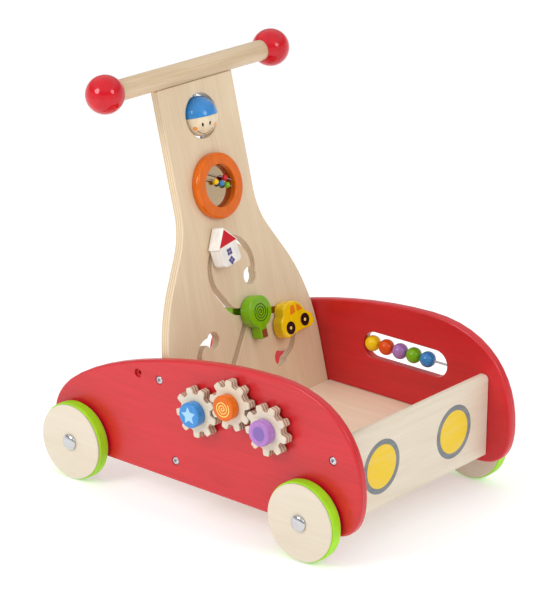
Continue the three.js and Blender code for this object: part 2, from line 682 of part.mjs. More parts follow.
// A point on a wire: place along it from its middle, and the wire's offset from the window's centre.
function onWire(place, offset) {
  const tilt = radians(WINDOW_WIRE_TILT);
  return [
    place * Math.cos(tilt) - offset * Math.sin(tilt),
    WINDOW_HEIGHT + place * Math.sin(tilt) + offset * Math.cos(tilt),
    WIRE_DEPTH,
  ];
}

function wireHalfLength(offset, extra) {
  return Math.sqrt(WINDOW_RING_INNER ** 2 - offset ** 2) + WIRE_GRIP + extra;
}

function wire(offset, radius, extra) {
  const half = wireHalfLength(offset, extra);
  return bar(onWire(-half, offset), onWire(half, offset), radius, 8);
}

function windowRing() {
  const mid = (WINDOW_RING_OUTER + WINDOW_RING_INNER) / 2;
  const top = WINDOW_RING_DEPTH;
  const profile = [
    [WINDOW_RING_INNER, FIT], [WINDOW_RING_OUTER, FIT], [WINDOW_RING_OUTER, top - 4.2],
    [WINDOW_RING_OUTER - 1.6, top - 1.5], [mid + 2.5, top], [mid - 4, top],
    [WINDOW_RING_INNER + 0.8, top - 0.7], [WINDOW_RING_INNER, top - 1.8],
  ];
  const ring = alongZ(turned(profile, 32)).translate(0, WINDOW_HEIGHT, 0);
  const holes = [LOWER_WIRE_OFFSET, UPPER_WIRE_OFFSET].map((offset) => wire(offset, WIRE_RADIUS + FIT, FIT));
  return cut(ring, holes);
}

const WINDOW_BEADS = [
  ['yellow', YELLOW, BLUE_WINDOW_BEAD_PLACE - WINDOW_BEAD_STEP, LOWER_WIRE_OFFSET],
  ['blue', BLUE, BLUE_WINDOW_BEAD_PLACE, LOWER_WIRE_OFFSET],
  ['green', GREEN, BLUE_WINDOW_BEAD_PLACE + WINDOW_BEAD_STEP, LOWER_WIRE_OFFSET],
  ['red', RED_GLOSS, RED_WINDOW_BEAD_PLACE, UPPER_WIRE_OFFSET],
];

function addWindow() {
  piece('window_ring', windowRing(), ORANGE, board);
  const mirrorRadius = WINDOW_RING_INNER - FIT;
  const mirror = bar([0, WINDOW_HEIGHT, MIRROR_BACK], [0, WINDOW_HEIGHT, MIRROR_FRONT], mirrorRadius, 40);
  piece('window_mirror', mirror, MIRROR, board);
  piece('window_wire_lower', wire(LOWER_WIRE_OFFSET, WIRE_RADIUS, 0), STEEL, board);
  piece('window_wire_upper', wire(UPPER_WIRE_OFFSET, WIRE_RADIUS, 0), STEEL, board);
  for (const [name, material, place, offset] of WINDOW_BEADS) {
    const bead = alongX(boredBall(WINDOW_BEAD_RADIUS, WIRE_RADIUS + FIT, 12, 6));
    bead.rotateZ(radians(WINDOW_WIRE_TILT)).translate(...onWire(place, offset));
    piece(`${name}_window_bead`, bead, material, board);
  }
}

// ---------------------------------------------------------------- sliding figures

const EAVES = { half: 18.3, height: 21.7 };
const HOUSE_BODY = { half: 15.5, height: 24, cornerRadius: 5 };

// The house, about the middle of its eaves.
function houseShape() {
  const { half, height, cornerRadius: r } = HOUSE_BODY;
  return outline([
    [EAVES.half, 0], [0.8, EAVES.height], [-0.8, EAVES.height], [-EAVES.half, 0], [-half, 0],
    ...arc([r - half, r - height], r, 180, 270, 30),
    ...arc([half - r, r - height], r, 270, 360, 30),
    [half, 0],
  ]);
}

const CROWN_RADIUS = 19.7;
const TRUNK_STUB = { half: 6, foot: -32.5 };

// The tree, about the middle of its round crown.
function treeShape() {
  const { half, foot } = TRUNK_STUB;
  const join = THREE.MathUtils.radToDeg(Math.asin(half / CROWN_RADIUS));
  return outline([
    ...arc([0, 0], CROWN_RADIUS, join - 90, 270 - join, 12),
    [-half, foot + 1.5], [1.5 - half, foot], [half - 1.5, foot], [half, foot + 1.5],
  ]);
}

// The car, about the point halfway between its wheels.
function carShape() {
  const shape = new THREE.Shape();
  shape.moveTo(-20, -10.5);
  shape.quadraticCurveTo(0, -7.5, 20, -12);
  shape.bezierCurveTo(27, -12, 30, -8, 29.7, -4);
  shape.bezierCurveTo(29.5, 2, 27, 5, 23.5, 6.5);
  shape.bezierCurveTo(19, 9, 18.5, 11, 16.5, 15);
  shape.bezierCurveTo(13, 22, 9, 27.5, 0, 29.5);
  shape.bezierCurveTo(-8, 30.8, -14, 29.8, -16.5, 27);
  shape.bezierCurveTo(-19, 23, -19.5, 19, -21, 16.5);
  shape.bezierCurveTo(-26, 15.5, -28.5, 9, -28.6, 2);
  shape.bezierCurveTo(-28.8, -5, -26, -9.5, -20, -10.5);
  return shape;
}

// Each figure: its outline, where that outline's origin stands on the board, its tilt in degrees, and the
// point on the slot's centre line where its stem goes through.
const FIGURES = [
  {
    name: 'house', material: WHITE, shape: houseShape(), thickness: HOUSE_THICKNESS,
    at: [-16, 205.9], tilt: 9, stem: polar(CROOK.center, CROOK.radius, 118),
  },
  {
    name: 'tree', material: GREEN, shape: treeShape(), thickness: FIGURE_THICKNESS,
    at: [19.9, 116], tilt: 0, stem: FORK,
  },
  {
    name: 'car', material: YELLOW, shape: carShape(), thickness: FIGURE_THICKNESS,
    at: [80, 85.1], tilt: 7.5, stem: polar(RIGHT_HOOK.center, RIGHT_HOOK.radius, 42.5),
  },
];

function addFigures() {
  const stemEnd = FIGURE_THICKNESS / 2;
  const front = -PLY - FIGURE_GAP;
  const back = front - BUTTON_THICKNESS;
  for (const { name, material, shape, thickness, at, tilt, stem } of FIGURES) {
    const figure = plateXY(shape, FIGURE_GAP, FIGURE_GAP + thickness, 4);
    figure.rotateZ(radians(tilt)).translate(at[0], at[1], 0);
    const socket = bar([...stem, -REACH], [...stem, stemEnd + FIT], STEM_RADIUS + FIT, 16);
    piece(name, cut(figure, [socket]), material, board);
    const button = alongZ(turned([
      [0, back], [BUTTON_RADIUS - 2, back], [BUTTON_RADIUS, back + 2], [BUTTON_RADIUS, front],
      [STEM_RADIUS, front], [STEM_RADIUS, stemEnd], [0, stemEnd],
    ], 18));
    piece(`${name}_button`, button.translate(stem[0], stem[1], 0), material, board);
  }
}

// ---------------------------------------------------------------- assembly

for (const side of Object.keys(SIDES)) {
  piece(`side_panel_${side}`, sidePanel(side), RED_STAIN);
  for (const [name, place] of Object.entries(SCREWS)) {
    piece(`${name}_${side}`, sideScrew(side, ...place), CHROME);
  }
}
piece('tray_floor', trayFloor(), BIRCH);
piece('front_panel', frontPanel(), CREAM_WOOD);
piece('upright_board', uprightBoard(), BIRCH, board);
addAxleSet('rear', REAR_AXLE_X);
addAxleSet('front', FRONT_AXLE_X);
addGears();
addBeads();
addHandleAndHead();
addWindow();
addFigures();

export default walker;
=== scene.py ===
"""A wooden push-along baby walker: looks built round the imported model.

Lengths in this script are millimetres unless a name says otherwise, and Blender gets metres.
+X is the walking direction, +Y the walker's left, +Z up, and the origin is on the floor.
"""
import json
import math

import bmesh
import bpy
from mathutils import Matrix, Vector

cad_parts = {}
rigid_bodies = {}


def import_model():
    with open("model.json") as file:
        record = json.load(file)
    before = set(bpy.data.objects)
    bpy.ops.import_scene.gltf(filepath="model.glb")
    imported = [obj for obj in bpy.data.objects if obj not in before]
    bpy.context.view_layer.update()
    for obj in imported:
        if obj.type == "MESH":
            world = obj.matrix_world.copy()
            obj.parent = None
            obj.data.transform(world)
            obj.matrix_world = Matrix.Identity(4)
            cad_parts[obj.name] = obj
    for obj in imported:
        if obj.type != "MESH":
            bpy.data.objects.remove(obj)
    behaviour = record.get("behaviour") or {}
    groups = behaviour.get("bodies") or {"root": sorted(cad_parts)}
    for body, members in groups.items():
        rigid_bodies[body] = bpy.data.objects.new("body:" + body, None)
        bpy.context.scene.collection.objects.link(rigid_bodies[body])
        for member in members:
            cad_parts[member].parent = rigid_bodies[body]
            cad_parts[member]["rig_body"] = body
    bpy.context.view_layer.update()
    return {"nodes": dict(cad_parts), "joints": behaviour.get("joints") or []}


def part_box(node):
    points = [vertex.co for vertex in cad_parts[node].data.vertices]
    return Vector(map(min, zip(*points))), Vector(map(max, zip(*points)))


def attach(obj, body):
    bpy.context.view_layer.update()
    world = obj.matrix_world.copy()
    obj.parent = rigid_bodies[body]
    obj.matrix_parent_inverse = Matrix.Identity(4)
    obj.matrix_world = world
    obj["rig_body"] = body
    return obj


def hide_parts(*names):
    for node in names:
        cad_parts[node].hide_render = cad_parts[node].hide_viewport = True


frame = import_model()

NODES = frame["nodes"]
JOINTS = {joint["name"]: joint for joint in frame["joints"]}
MM = 0.001
X, Y, Z = Vector((1, 0, 0)), Vector((0, 1, 0)), Vector((0, 0, 1))
SIDES = {"right": -1, "left": 1}


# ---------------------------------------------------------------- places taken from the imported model

def low(node):
    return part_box(node)[0] / MM


def high(node):
    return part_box(node)[1] / MM


def middle(node):
    return (low(node) + high(node)) / 2


# The play board's own directions: across it (to the walker's left), up it, and out of its front face.
ACROSS = Y
BOARD_UP = Vector(JOINTS["head_spin"]["axis"]).normalized()
BOARD_OUT = Vector(JOINTS["house_slot"]["axis"]).normalized()


def board_origin():
    """Where the board's front face meets the tray floor's top, on the walker's middle line."""
    face = max(vertex.co.dot(BOARD_OUT) for vertex in NODES["upright_board"].data.vertices) / MM
    z = high("tray_floor").z
    return Vector(((face - BOARD_OUT.z * z) / BOARD_OUT.x, 0, z))


BOARD_ORIGIN = board_origin()


def on_board(across, up, out=0.0):
    return BOARD_ORIGIN + ACROSS * across + BOARD_UP * up + BOARD_OUT * out


def board_extent(node):
    """A node's lowest and highest (across, up, out) values on the board."""
    points = [vertex.co / MM - BOARD_ORIGIN for vertex in NODES[node].data.vertices]
    values = [[point.dot(axis) for point in points] for axis in (ACROSS, BOARD_UP, BOARD_OUT)]
    return [min(v) for v in values], [max(v) for v in values]


# ---------------------------------------------------------------- colours

def srgb(red, green, blue):
    """A linear colour from the usual 0 to 255 values."""
    def linear(value):
        value /= 255
        return value / 12.92 if value <= 0.04045 else ((value + 0.055) / 1.055) ** 2.4
    return (linear(red), linear(green), linear(blue), 1)


def darker(color, share):
    return (*(channel * share for channel in color[:3]), 1)


# ---------------------------------------------------------------- materials

class Surface:
    """A Principled material being built in the object's own coordinates."""

    def __init__(self, name, sockets):
        self.material = bpy.data.materials.new(name)
        self.material.use_nodes = True
        self.tree = self.material.node_tree
        self.shader = self.tree.nodes["Principled BSDF"]
        self.place = self.tree.nodes.new("ShaderNodeTexCoord")
        for socket, value in sockets.items():
            self.shader.inputs[socket].default_value = value

    def add(self, kind, inputs=None, **settings):
        """A new node. Each input is a number, a colour or another node's output."""
        node = self.tree.nodes.new("ShaderNode" + kind)
        for setting, value in settings.items():
            setattr(node, setting, value)
        for socket, value in (inputs or {}).items():
            if isinstance(value, bpy.types.NodeSocket):
                self.tree.links.new(value, node.inputs[socket])
            else:
                node.inputs[socket].default_value = value
        return node

    def math(self, operation, first, second=0.0, clamp=False):
        return self.add("Math", {0: first, 1: second}, operation=operation, use_clamp=clamp).outputs[0]

    def blend(self, amount, first, second):
        node = self.add("Mix", {"Factor": amount, "A": first, "B": second}, data_type="RGBA")
        for socket, value in (("A", first), ("B", second)):
            self.set_color(node, socket, value)
        return node.outputs["Result"]

    def set_color(self, node, name, value):
        """Mix has three sockets of each name. This one is the colour's."""
        socket = next(each for each in node.inputs if each.name == name and each.type == "RGBA")
        if isinstance(value, bpy.types.NodeSocket):
            self.tree.links.new(value, socket)
        else:
            socket.default_value = value

    def along(self, axis, length, width):
        """Object coordinates counted in streaks of this length along axis and this width across it."""
        turn = X.rotation_difference(Vector(axis)).to_euler()
        size = (length * MM, width * MM, width * MM)
        return self.add("Mapping", {
            "Vector": self.place.outputs["Object"], "Rotation": turn, "Scale": size,
        }, vector_type="TEXTURE").outputs[0]

    def reach(self, place, direction):
        """How far the object's coordinates or normal point in this direction."""
        vectors = {0: self.place.outputs[place], 1: direction}
        return self.add("VectorMath", vectors, operation="DOT_PRODUCT").outputs["Value"]

    def noise(self, vector, detail=2.0, roughness=0.5, distortion=0.0, scale=1.0):
        return self.add("TexNoise", {
            "Vector": vector, "Scale": scale, "Detail": detail,
            "Roughness": roughness, "Distortion": distortion,
        }).outputs["Fac"]

    def stepped(self, value, low_value, high_value, to_low=0.0, to_high=1.0):
        """value between two limits, spread over a new range and held inside it."""
        return self.add("MapRange", {
            "Value": value, "From Min": low_value, "From Max": high_value,
            "To Min": to_low, "To Max": to_high,
        }, clamp=True).outputs["Result"]

    def color(self, value):
        self.tree.links.new(value, self.shader.inputs["Base Color"])

    def roughness(self, value):
        self.tree.links.new(value, self.shader.inputs["Roughness"])

    def bump(self, height, strength, depth):
        node = self.add("Bump", {"Height": height, "Strength": strength, "Distance": depth * MM})
        self.tree.links.new(node.outputs[0], self.shader.inputs["Normal"])


def wood(name, pale, dark, grain, plies=None, layer=None, gloss=0.42, contrast=1.0, coat=0.25):
    """Lacquered wood. grain is the grain's direction. plies is (thickness direction, one ply's thickness)
    and shows the layers on every face that looks across the thickness, each second one in layer."""
    surface = Surface(name, {"Coat Weight": coat, "Coat Roughness": 0.22, "Specular IOR Level": 0.35})
    clouds = surface.noise(surface.along(grain, 190, 30), detail=3, distortion=0.8)
    streaks = surface.noise(surface.along(grain, 70, 1.7), detail=4, roughness=0.62)
    pores = surface.noise(surface.along(grain, 11, 0.45), detail=2)
    figure = surface.math("MULTIPLY", surface.math("ADD", clouds, streaks), 0.5)
    shade = surface.stepped(figure, 0.38, 0.66, 0.0, 0.8 * contrast)
    fleck = surface.stepped(pores, 0.6, 0.78, 0.0, 0.32 * contrast)
    color = surface.blend(surface.math("ADD", shade, fleck, clamp=True), pale, dark)
    if plies:
        color = ply_edges(surface, color, pale, layer or dark, *plies)
    surface.color(color)
    surface.roughness(surface.stepped(streaks, 0.3, 0.7, gloss - 0.06, gloss + 0.08))
    surface.bump(surface.math("ADD", pores, streaks), 0.1, 0.12)
    return surface.material


def ply_edges(surface, face_color, pale, dark, direction, thickness):
    """Shows the plies' light and dark lines where the surface looks across the board's thickness."""
    facing = surface.math("ABSOLUTE", surface.reach("Normal", direction))
    edge = surface.stepped(facing, 0.35, 0.6, 1.0, 0.0)
    wobble = surface.noise(surface.along(direction, 3, 25), detail=1)
    layer = surface.math("DIVIDE", surface.reach("Object", direction), thickness * MM)
    layer = surface.math("ADD", layer, surface.math("MULTIPLY", wobble, 0.35))
    wave = surface.math("SINE", surface.math("MULTIPLY", layer, math.pi))
    band = surface.stepped(wave, -0.25, 0.25, 0.0, 0.75)
    fibres = surface.noise(surface.along(direction, 0.7, 1.6), detail=3)
    tone = surface.math("ADD", band, surface.stepped(fibres, 0.4, 0.75, -0.1, 0.45), clamp=True)
    return surface.blend(edge, face_color, surface.blend(tone, pale, dark))


def lacquer(name, color, gloss=0.2, coat=0.6):
    """Gloss paint on turned or cut wood: a faint orange-peel surface and slightly uneven cover."""
    surface = Surface(name, {"Coat Weight": coat, "Coat Roughness": 0.04, "Specular IOR Level": 0.1})
    cover = surface.noise(surface.along(Z, 40, 9), detail=3)
    peel = surface.noise(surface.along(Z, 2.4, 2.4), detail=2)
    wear = surface.noise(surface.along(X, 0.9, 0.9), detail=3)
    surface.color(surface.blend(surface.stepped(cover, 0.32, 0.7), color, darker(color, 0.84)))
    surface.roughness(surface.stepped(wear, 0.35, 0.75, gloss, gloss + 0.12))
    surface.bump(peel, 0.12, 0.1)
    return surface.material


def rubber(name, color):
    surface = Surface(name, {"Specular IOR Level": 0.4})
    mould = surface.noise(surface.along(Z, 0.8, 0.8), detail=4, roughness=0.7)
    dust = surface.noise(surface.along(Z, 26, 26), detail=4)
    surface.color(surface.blend(surface.stepped(dust, 0.4, 0.75), color, darker(color, 0.8)))
    surface.roughness(surface.stepped(mould, 0.3, 0.7, 0.42, 0.6))
    surface.bump(mould, 0.2, 0.08)
    return surface.material


def metal(name, color, gloss, brushed=None, wear=1.0):
    """Polished or drawn metal. brushed is the direction of the drawing marks, and wear how uneven it is."""
    surface = Surface(name, {"Metallic": 1.0})
    if brushed:
        marks = surface.noise(surface.along(brushed, 30, 0.25), detail=2)
    else:
        marks = surface.noise(surface.along(Z, 4, 4), detail=5, roughness=0.7)
    surface.color(surface.blend(surface.stepped(marks, 0.3, 0.75), color, darker(color, 1 - 0.18 * wear)))
    surface.roughness(surface.stepped(marks, 0.3, 0.75, gloss, gloss + 0.1 * wear))
    surface.bump(marks, 0.04 * wear, 0.03)
    return surface.material


def ink(name, color, under=None):
    """A printed film: the paint's colour with pinholes that let a little of the wood through."""
    surface = Surface(name, {"Coat Weight": 0.1, "Coat Roughness": 0.2, "Specular IOR Level": 0.2})
    pinholes = surface.noise(surface.along(Z, 0.5, 0.5), detail=3, roughness=0.7)
    cover = surface.noise(surface.along(Y, 30, 5), detail=3)
    holes = surface.stepped(pinholes, 0.66, 0.8, 0.0, 0.35)
    thin = surface.stepped(cover, 0.4, 0.8, 0.0, 0.16)
    surface.color(surface.blend(surface.math("ADD", holes, thin), color, under or darker(color, 0.7)))
    surface.roughness(surface.stepped(cover, 0.3, 0.7, 0.34, 0.44))
    surface.bump(pinholes, 0.08, 0.05)
    return surface.material


CREAM = srgb(222, 211, 192)
CREAM_SHADE = srgb(205, 189, 163)
BIRCH = srgb(227, 206, 175)
BIRCH_SHADE = srgb(204, 177, 140)
# The tray floor's birch is paler than the play board's: painted light for the extra light that falls into the
# tray.
TRAY_BIRCH_PAINTED_PALER = srgb(240, 222, 198)
TRAY_BIRCH_GRAIN_PAINTED_PALER = srgb(220, 196, 166)
BAR = srgb(216, 193, 161)
BAR_SHADE = srgb(194, 166, 128)
LAYER = srgb(150, 112, 76)
RED = srgb(208, 18, 32)
RED_SHADE = srgb(180, 8, 18)

# Each wood's plies are (the thickness direction, one ply's thickness).
STAINED_RED = wood("stained_red_plywood", RED, RED_SHADE, X, plies=(Y, 1.7), contrast=0.9, coat=0.5)
CREAM_BOARD = wood("cream_board", CREAM, CREAM_SHADE, Y, gloss=0.4, contrast=0.7)
CREAM_WHEEL = wood("cream_wheel", CREAM, CREAM_SHADE, X, plies=(Y, 1.8), gloss=0.38, contrast=0.6, coat=0.3)
# The tray floor's birch colours hold painted light.
BIRCH_FLOOR = wood("birch_floor", TRAY_BIRCH_PAINTED_PALER, TRAY_BIRCH_GRAIN_PAINTED_PALER, X, plies=(Z, 1.5), contrast=0.8)
BIRCH_BOARD = wood("birch_play_board", BIRCH, BIRCH_SHADE, BOARD_UP, plies=(BOARD_OUT, 1.7), contrast=0.75)
BIRCH_BAR = wood("birch_bar", BAR, BAR_SHADE, Y, contrast=1.0)
GEAR_PLY = wood("gear_plywood", CREAM, CREAM_SHADE, X, plies=(Y, 2.0), layer=LAYER, contrast=0.8)
LIME = rubber("lime_rubber", srgb(164, 228, 30))
CHROME = metal("chrome", (0.62, 0.63, 0.65, 1), 0.04)
ZINC = metal("zinc", (0.56, 0.57, 0.60, 1), 0.16)
STEEL = metal("drawn_steel", (0.50, 0.51, 0.53, 1), 0.26, brushed=Y)
# The mirror's warm brown colour is a painted reflection of the wooden board round it.
MIRROR_WITH_PAINTED_REFLECTION = metal("mirror", (0.50, 0.37, 0.23, 1), 0.01, wear=0.15)
PAINTS = {
    "red": lacquer("red_lacquer", srgb(206, 0, 26), gloss=0.16, coat=0.75),
    "blue": lacquer("blue_lacquer", srgb(54, 138, 208), coat=0.75),
    "orange": lacquer("orange_lacquer", srgb(224, 104, 0), coat=0.5),
    "coral": lacquer("orange_red_lacquer", srgb(230, 82, 14)),
    "purple": lacquer("purple_lacquer", srgb(176, 124, 196)),
    "yellow": lacquer("yellow_lacquer", srgb(250, 208, 4)),
    "green": lacquer("green_lacquer", srgb(124, 184, 6)),
    "white": lacquer("white_lacquer", srgb(246, 243, 236), gloss=0.3, coat=0.4),
    "cream": lacquer("cream_lacquer", srgb(236, 219, 188), gloss=0.3, coat=0.4),
}
INKS = {
    "grey": ink("grey_ink", srgb(114, 120, 125), CREAM),
    "sun": ink("sun_yellow_ink", srgb(232, 196, 36), CREAM),
    "light_blue": ink("light_blue_ink", srgb(160, 206, 240)),
    "pale_yellow": ink("pale_yellow_ink", srgb(252, 218, 120)),
    "violet": ink("violet_ink", srgb(132, 102, 172)),
    "red": ink("red_ink", srgb(200, 2, 26)),
    "pane": ink("pane_ink", srgb(86, 74, 138)),
    "leaf": ink("leaf_ink", srgb(36, 80, 6)),
    "brown": ink("brown_ink", srgb(134, 66, 34)),
    "amber": ink("amber_ink", srgb(232, 130, 10)),
    "black": ink("black_ink", srgb(38, 16, 16)),
    "blush": ink("blush_ink", srgb(240, 150, 50)),
}


# ---------------------------------------------------------------- making pieces

def piece(name, mesh, materials, node=None, body=None):
    """Adds one piece. With a node, it rides on that node's body and stands in for it, and the node is hidden.
    """
    obj = bpy.data.objects.new(name, mesh)
    bpy.context.scene.collection.objects.link(obj)
    for material in materials if isinstance(materials, list) else [materials]:
        mesh.materials.append(material)
    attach(obj, body or NODES[node]["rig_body"])
    if node:
        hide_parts(node)
    return obj


SMOOTH_UNDER = 35                # edges that turn by more degrees than this look sharp


def finished(bm, name):
    """The mesh in metres with outward normals, smooth except at its sharp edges."""
    bmesh.ops.recalc_face_normals(bm, faces=bm.faces)
    if bm.calc_volume(signed=True) < 0:
        bmesh.ops.reverse_faces(bm, faces=bm.faces)
    mesh = bpy.data.meshes.new(name)
    bm.to_mesh(mesh)
    bm.free()
    mesh.shade_smooth()
    mesh.set_sharp_from_angle(angle=math.radians(SMOOTH_UNDER))
    return mesh


def rounded(points, steps=4, closed=False):
    """A line through the points, in which a point's third value rounds that corner off by so much."""
    line = []
    count = len(points)
    for i, point in enumerate(points):
        here = Vector(point[:2])
        radius = point[2] if len(point) > 2 else 0
        if radius == 0 or (not closed and i in (0, count - 1)):
            line.append(here)
            continue
        before = Vector(points[i - 1][:2]) - here
        after = Vector(points[(i + 1) % count][:2]) - here
        start = here + before.normalized() * min(radius, before.length * 0.49)
        end = here + after.normalized() * min(radius, after.length * 0.49)
        for step in range(steps + 1):
            t = step / steps
            line.append(start * (1 - t) ** 2 + here * 2 * t * (1 - t) + end * t ** 2)
    return line


def circle(center, radius, start=0, end=360, steps=24):
    """Points on an arc, in degrees. A full turn leaves out its repeated last point."""
    whole = abs(end - start) >= 360
    angles = [math.radians(start + (end - start) * i / steps) for i in range(steps + (0 if whole else 1))]
    return [Vector((center[0] + radius * math.cos(a), center[1] + radius * math.sin(a))) for a in angles]


def lathe(name, profile, origin, axis, sides=64, split_at=None):
    """A turned solid about an axis through origin. profile holds (radius, distance along the axis), and
    starts and ends on the axis or closes on itself. Faces beyond split_at along the axis get the second
    material."""
    axis = Vector(axis).normalized()
    first = axis.orthogonal().normalized()
    second = axis.cross(first)
    bm = bmesh.new()

    def ring(radius, distance):
        center = Vector(origin) + axis * distance
        if radius < 1e-6:
            return [bm.verts.new(center * MM)]
        corners = []
        for i in range(sides):
            angle = 2 * math.pi * i / sides
            corner = center + (first * math.cos(angle) + second * math.sin(angle)) * radius
            corners.append(bm.verts.new(corner * MM))
        return corners

    rings = [ring(radius, distance) for radius, distance in profile]
    closed = len(rings[0]) > 1
    for i in range(len(rings) if closed else len(rings) - 1):
        a, b = rings[i], rings[(i + 1) % len(rings)]
        beyond = split_at is not None and (profile[i][1] + profile[(i + 1) % len(rings)][1]) / 2 > split_at
        for k in range(sides):
            corners = [a[k % len(a)], a[(k + 1) % len(a)], b[(k + 1) % len(b)], b[k % len(b)]]
            face = bm.faces.new([c for j, c in enumerate(corners) if c not in corners[:j]])
            face.material_index = 1 if beyond else 0
    return finished(bm, name)


def ball_profile(radius, bore, rows):
    """A ball's profile, from one end of its bore to the other."""
    mouth = math.degrees(math.asin(bore / radius))
    return [(p.x, p.y) for p in circle((0, 0), radius, mouth - 90, 90 - mouth, rows)]


def plate(name, outline, place, low_level, high_level):
    """A closed plate. outline is in the plane that place(across, up, level) maps into the model."""
    bm = bmesh.new()
    under, over = ([bm.verts.new(place(p[0], p[1], level) * MM) for p in outline]
                   for level in (low_level, high_level))
    for k in range(len(outline)):
        bm.faces.new((under[k - 1], under[k], over[k], over[k - 1]))
    bm.faces.new(under)
    bm.faces.new(over)
    return finished(bm, name)


def ribbon(name, line, width, place, low_level, high_level):
    """A flat printed line of constant width along an open line of points."""
    sides = [[], []]
    for i, point in enumerate(line):
        run = line[min(i + 1, len(line) - 1)] - line[max(i - 1, 0)]
        across = Vector((-run.y, run.x)).normalized() * width / 2
        sides[0].append(point + across)
        sides[1].append(point - across)
    bm = bmesh.new()
    rows = [[bm.verts.new(place(p.x, p.y, level) * MM) for p in side]
            for level in (low_level, high_level) for side in sides]
    low_left, low_right, top_left, top_right = rows
    loop = [low_left, low_right, top_right, top_left]
    for i in range(len(line) - 1):
        for a, b in zip(loop, loop[1:] + loop[:1]):
            bm.faces.new((a[i], a[i + 1], b[i + 1], b[i]))
    for end in (0, -1):
        bm.faces.new([row[end] for row in loop])
    return finished(bm, name)


def spiral(radius, turns, start_angle, step=12):
    """An even spiral from the middle out to radius."""
    count = int(turns * 360 / step)
    return [Vector((radius * i / count, 0)) @ Matrix.Rotation(-math.radians(start_angle + i * step), 2)
            for i in range(1, count + 1)]


def rounded_copy(name, node, widths, materials, crease=50):
    """The CAD node's own shape with rounded edges. widths holds (smallest loop, rounding): each loop of
    sharp edges takes the rounding of the largest entry that it reaches."""
    bm = bmesh.new()
    bm.from_mesh(NODES[node].data)
    bmesh.ops.remove_doubles(bm, verts=bm.verts, dist=1e-6)
    bmesh.ops.dissolve_limit(bm, angle_limit=math.radians(1), verts=bm.verts, edges=bm.edges)
    loops = sharp_loops(bm, math.radians(crease))
    for smallest, width in sorted(widths):
        larger = [w for w in widths if w[0] > smallest]
        edges = []
        for size, loop in loops:
            if size >= smallest and not any(size >= w[0] for w in larger):
                edges += loop
        edges = [e for e in edges if e.is_valid]
        if edges and width:
            bmesh.ops.bevel(bm, geom=edges, offset=width * MM, offset_type="OFFSET", segments=3,
                            profile=0.5, affect="EDGES", clamp_overlap=False)
    refill_flats(bm)
    obj = piece(name, finished(bm, name), materials, node=node)
    even = obj.modifiers.new("flat_faces_stay_flat", "WEIGHTED_NORMAL")
    even.weight = 100
    even.keep_sharp = True
    return obj


LARGE_FLAT = 4e-4                # in square metres
FLAT_WITHIN = 1e-5               # in metres


def refill_flats(bm):
    """Gives each large flat side clean triangles between its outer rim and the rims of its openings."""
    large = sorted((f for f in bm.faces if f.calc_area() > LARGE_FLAT), key=lambda f: -f.calc_area())
    for seed in large:
        if not seed.is_valid:
            continue
        normal, point = seed.normal.copy(), seed.verts[0].co.copy()
        region = [seed]
        reached = {seed}
        for face in region:
            for edge in face.edges:
                for other in edge.link_faces:
                    flat = all(abs((v.co - point).dot(normal)) < FLAT_WITHIN for v in other.verts)
                    if flat and other not in reached:
                        reached.add(other)
                        region.append(other)
        edges = dict.fromkeys(e for f in region for e in f.edges)
        rim = [e for e in edges if sum(f in reached for f in e.link_faces) == 1]
        bmesh.ops.delete(bm, geom=region, context="FACES_KEEP_BOUNDARY")
        bmesh.ops.triangle_fill(bm, edges=rim, use_beauty=True, normal=normal)


def sharp_loops(bm, crease):
    """Each group of sharp edges that touch, as (its largest extent in mm, its edges)."""
    left = dict.fromkeys(e for e in bm.edges if len(e.link_faces) == 2 and e.calc_face_angle() > crease)
    groups = []
    while left:
        group = [left.popitem()[0]]
        for edge in group:
            for vertex in edge.verts:
                for other in vertex.link_edges:
                    if other in left:
                        del left[other]
                        group.append(other)
        corners = [v.co for e in group for v in e.verts]
        extent = max(max(c[i] for c in corners) - min(c[i] for c in corners) for i in range(3))
        groups.append((extent / MM, group))
    return groups


INK_LEVEL = 0.12                 # how high a print stands on its surface
INK_DEPTH = 0.05                 # how far it reaches into the surface


def printed(name, outline, place, material, body, level=0.0):
    mesh = plate(name, outline, place, level - INK_DEPTH, level + INK_LEVEL)
    piece(name, mesh, material, body=body)


def printed_line(name, line, width, place, material, body):
    piece(name, ribbon(name, line, width, place, -INK_DEPTH, INK_LEVEL), material, body=body)


# ---------------------------------------------------------------- panels, tray and board

# Each board's roundings, as (smallest loop, rounding): its small holes, its slots and its outline.
PANEL_ROUNDINGS = [(0, 0.5), (30, 1.6), (300, 3.2)]
PLAY_BOARD_ROUNDINGS = [(0, 0.4), (18, 0.8), (250, 1.4)]


def build_panels():
    for side in SIDES:
        rounded_copy(f"panel_{side}", f"side_panel_{side}", PANEL_ROUNDINGS, STAINED_RED)
    rounded_copy("front_board", "front_panel", [(0, 0.4), (60, 0.9)], CREAM_BOARD)
    rounded_copy("floor_board", "tray_floor", [(0, 0.4)], BIRCH_FLOOR)
    rounded_copy("play_board", "upright_board", PLAY_BOARD_ROUNDINGS, BIRCH_BOARD)


LAMP_RADIUS = 32.4
LAMP_LENS_RADIUS = 26
LAMP_SPACING = 134.4
LAMP_HEIGHT = 94.8


def build_lamps():
    """Two printed round lamps on the front panel."""
    face = high("front_panel").x
    body = NODES["front_panel"]["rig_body"]

    def place(across, up, level):
        return Vector((face + level, across, up))

    for side, sign in SIDES.items():
        center = (sign * LAMP_SPACING / 2, LAMP_HEIGHT)
        rim = circle(center, LAMP_RADIUS, steps=96)
        lens = circle(center, LAMP_LENS_RADIUS, steps=80)
        printed(f"lamp_rim_{side}", rim, place, INKS["grey"], body)
        printed(f"lamp_lens_{side}", lens, place, INKS["sun"], body, level=INK_LEVEL)


# ---------------------------------------------------------------- wheels

TYRE_SEAT_RADIUS = 44
AXLE_BORE_RADIUS = 4.3
WHEEL_FACE_ROUNDING = 0.9
TYRE_CROWN = 0.35                # how much lower the tyre's shoulders are than its middle
TYRE_GAP = 0.3
CAP_BRIM = 0.9
CAP_HOLLOW = 1.6                 # from the dome's top down to the hollow's end


